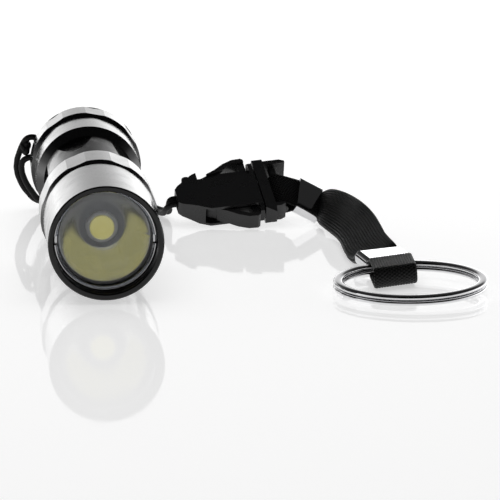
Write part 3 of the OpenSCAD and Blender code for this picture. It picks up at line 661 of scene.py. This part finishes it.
# %% Glass and silicone
def clear(name, tint, roughness, ior):
    """A clear finish that lets lamp light through to what is behind it."""
    finish = bpy.data.materials.new(name)
    finish.use_nodes = True
    shader = finish.node_tree.nodes["Principled BSDF"]
    shader.inputs["Base Color"].default_value = (*tint, 1)
    shader.inputs["Roughness"].default_value = roughness
    shader.inputs["IOR"].default_value = ior
    shader.inputs["Transmission Weight"].default_value = 1.0
    tree = finish.node_tree
    rays = tree.nodes.new("ShaderNodeLightPath")
    through = tree.nodes.new("ShaderNodeBsdfTransparent")
    choice = tree.nodes.new("ShaderNodeMixShader")
    tree.links.new(rays.outputs["Is Shadow Ray"], choice.inputs["Fac"])
    tree.links.new(shader.outputs["BSDF"], choice.inputs[1])
    tree.links.new(through.outputs["BSDF"], choice.inputs[2])
    tree.links.new(choice.outputs["Shader"], tree.nodes["Material Output"].inputs["Surface"])
    return finish


glass = clear("lens_glass", (0.96, 0.98, 1.0), 0.0, 1.46)
silicone = clear("clear_silicone", (1.0, 0.96, 0.78), 0.02, 1.41)
print("clear finishes made:", 2)


# %% Woven finishes
THREAD_SPECULAR, THREAD_SHEEN_ROUGHNESS = 0.25, 0.4


def woven(name, dark, light, along, around, bump, depth, roughness, sheen):
    """A thread finish; along and around set the pitch of the weave, and depth is in mm."""
    finish = bpy.data.materials.new(name)
    finish.use_nodes = True
    tree = finish.node_tree
    shader = tree.nodes["Principled BSDF"]
    shader.inputs["Roughness"].default_value = roughness
    shader.inputs["Specular IOR Level"].default_value = THREAD_SPECULAR
    shader.inputs["Sheen Weight"].default_value = sheen
    shader.inputs["Sheen Roughness"].default_value = THREAD_SHEEN_ROUGHNESS
    weave = tree.nodes.new("ShaderNodeGroup")
    weave.node_tree = weave_group
    weave.inputs["Along Pitch"].default_value = along
    weave.inputs["Round Pitch"].default_value = around
    weave.inputs["Dark"].default_value = (*dark, 1)
    weave.inputs["Light"].default_value = (*light, 1)
    raised = tree.nodes.new("ShaderNodeBump")
    raised.inputs["Strength"].default_value = bump
    raised.inputs["Distance"].default_value = depth * MM
    tree.links.new(weave.outputs["Color"], shader.inputs["Base Color"])
    tree.links.new(weave.outputs["Height"], raised.inputs["Height"])
    tree.links.new(raised.outputs["Normal"], shader.inputs["Normal"])
    return finish


webbing = woven("ribbed_nylon", (0.0005, 0.0005, 0.0005), (0.012, 0.012, 0.0122),
                12.0, 6.0, 0.9, 0.08, 0.5, 0.0)
braid = woven("braided_nylon", (0.001, 0.001, 0.001), (0.006, 0.006, 0.006),
              12.0, 9.0, 0.5, 0.03, 0.6, 0.01)
print("woven finishes made:", 2)

# %% [markdown]
# ## Which finish goes where
#
# The record names a material slot for each part, so one table from slot to finish dresses
# the whole frame, and no part can be missed.

# %% Dress the frame
FINISHES = {
    "black_metal": black_metal, "lens_glass": glass, "black_rubber": black_rubber,
    "mirror_coat": mirror, "clear_silicone": silicone, "phosphor": phosphor,
    "white_ceramic": ceramic, "brass": brass, "board_green": green_board,
    "dark_component": dark_component, "wire_red": red_wire, "steel": steel,
    "cell_label": cell_film, "white_plastic": white_plastic, "black_cord": braid,
    "black_plastic": black_plastic, "black_webbing": webbing, "nickel_plate": nickel}
for subpart in frame["record"]["subparts"]:
    part = nodes[subpart["node"]]
    part.data.materials.clear()
    part.data.materials.append(FINISHES[subpart["material_slot"]])
for piece, finish in ((cord, braid), (knot, braid), (ring_loop, webbing), (bar_loop, webbing),
                      (strap_plies[0], webbing), (strap_plies[1], webbing), (split_ring, nickel)):
    piece.data.materials.append(finish)
# The ring that holds the lens is brighter than its slot says: a painted highlight that gives the
# lens a thin light rim.
nodes["lens_retaining_ring"].data.materials[0] = highlight_rim_metal

# %% [markdown]
# ## The studio
#
# The light lies on a white sweep with a bright wall low behind it. Black gloss shows nothing
# of its own, only what it mirrors: the wall draws the pale bands along the tops, and the
# dark room above and in front leaves the rest black. Large lamps could do the same, but they
# would show as hard squares in the gloss, so the two that fill the scene stay out of mirrors.

# %% Floor
FLOOR_SIZE, FLOOR_GAP = 6, 0.02 * MM
floor_z = cad_box[0][2]
bpy.ops.mesh.primitive_grid_add(x_subdivisions=4, y_subdivisions=4, size=FLOOR_SIZE,
                                location=(0, 0, floor_z - FLOOR_GAP))
floor = bpy.context.object
floor.name = "studio_floor"
sweep = grained("pale_sweep", (0.93, 0.93, 0.93), 0.03, 0.05, bump=0.0, IOR=1.2,
                Emission_Color=(1, 1, 1, 1), Emission_Strength=0.5)
floor.data.materials.append(sweep)
print("floor level, mm:", round(floor_z / MM, 2))

# %% World
world = bpy.data.worlds.new("studio_room")
bpy.context.scene.world = world
world.use_nodes = True
n, link = world.node_tree.nodes, world.node_tree.links.new
place = n.new("ShaderNodeTexCoord")
axes = n.new("ShaderNodeSeparateXYZ")
link(place.outputs["Generated"], axes.inputs["Vector"])
ramp = n.new("ShaderNodeValToRGB")
# Height, from straight down at 0 to straight up at 1, and how bright the room is there.
ROOM = ((0.0, 0.9), (0.5, 1.0), (0.55, 0.9), (0.6, 0.4), (0.65, 0.3), (0.7, 0.05),
        (0.8, 0.01), (1.0, 0.01))
ROOM_STRENGTH = 2.2
while len(ramp.color_ramp.elements) < len(ROOM):
    ramp.color_ramp.elements.new(0.5)
for spot, (height, tone) in zip(ramp.color_ramp.elements, ROOM):
    spot.position = height
    spot.color = (tone, tone, tone, 1)
level = n.new("ShaderNodeMapRange")
level.inputs["From Min"].default_value = -1
link(axes.outputs["Z"], level.inputs["Value"])
link(level.outputs["Result"], ramp.inputs["Fac"])
# The room is dark on the camera's side and bright on the far side.
far_side = n.new("ShaderNodeMapRange")
far_side.inputs["From Min"].default_value = -0.6
far_side.inputs["From Max"].default_value = 0.3
far_side.inputs["To Min"].default_value = 0.01
far_side.inputs["To Max"].default_value = 1.0
link(axes.outputs["Y"], far_side.inputs["Value"])
wall = n.new("ShaderNodeMix")
wall.data_type = "RGBA"
wall.blend_type = "MULTIPLY"
wall.inputs["Factor"].default_value = 1
link(ramp.outputs["Color"], wall.inputs["A"])
link(far_side.outputs["Result"], wall.inputs["B"])
link(wall.outputs["Result"], n["Background"].inputs["Color"])
n["Background"].inputs["Strength"].default_value = ROOM_STRENGTH
print("room bands:", len(ROOM))


# %% Lamps
LAMP_AIM = Vector((0.015, 0.04, 0))


def softbox(name, at, size, watts, shows=True):
    """A soft lamp aimed at the light; shows says whether gloss mirrors it."""
    data = bpy.data.lights.new(name, "AREA")
    data.shape = "RECTANGLE"
    data.size, data.size_y = size
    data.energy = watts
    lamp = bpy.data.objects.new(name, data)
    bpy.context.scene.collection.objects.link(lamp)
    lamp.location = at
    lamp.rotation_euler = (LAMP_AIM - Vector(at)).to_track_quat("-Z", "Y").to_euler()
    lamp.visible_glossy = shows
    return lamp


softbox("overhead_fill", (0.0, 0.1, 1.4), (2.0, 2.0), 9, shows=False)
softbox("front_fill", (-0.3, -1.2, 0.9), (1.2, 0.8), 1.6, shows=False)
# A small card brightens the top of the ring's ferrule, and nothing else.
card = softbox("ferrule_card", (0.085, 0.243, 0.096), (0.05, 0.03), 0.01)
card_lights = bpy.data.collections.new("card_lights")
card_lights.objects.link(nodes["ferrule_ring_end"])
card.light_linking.receiver_collection = card_lights
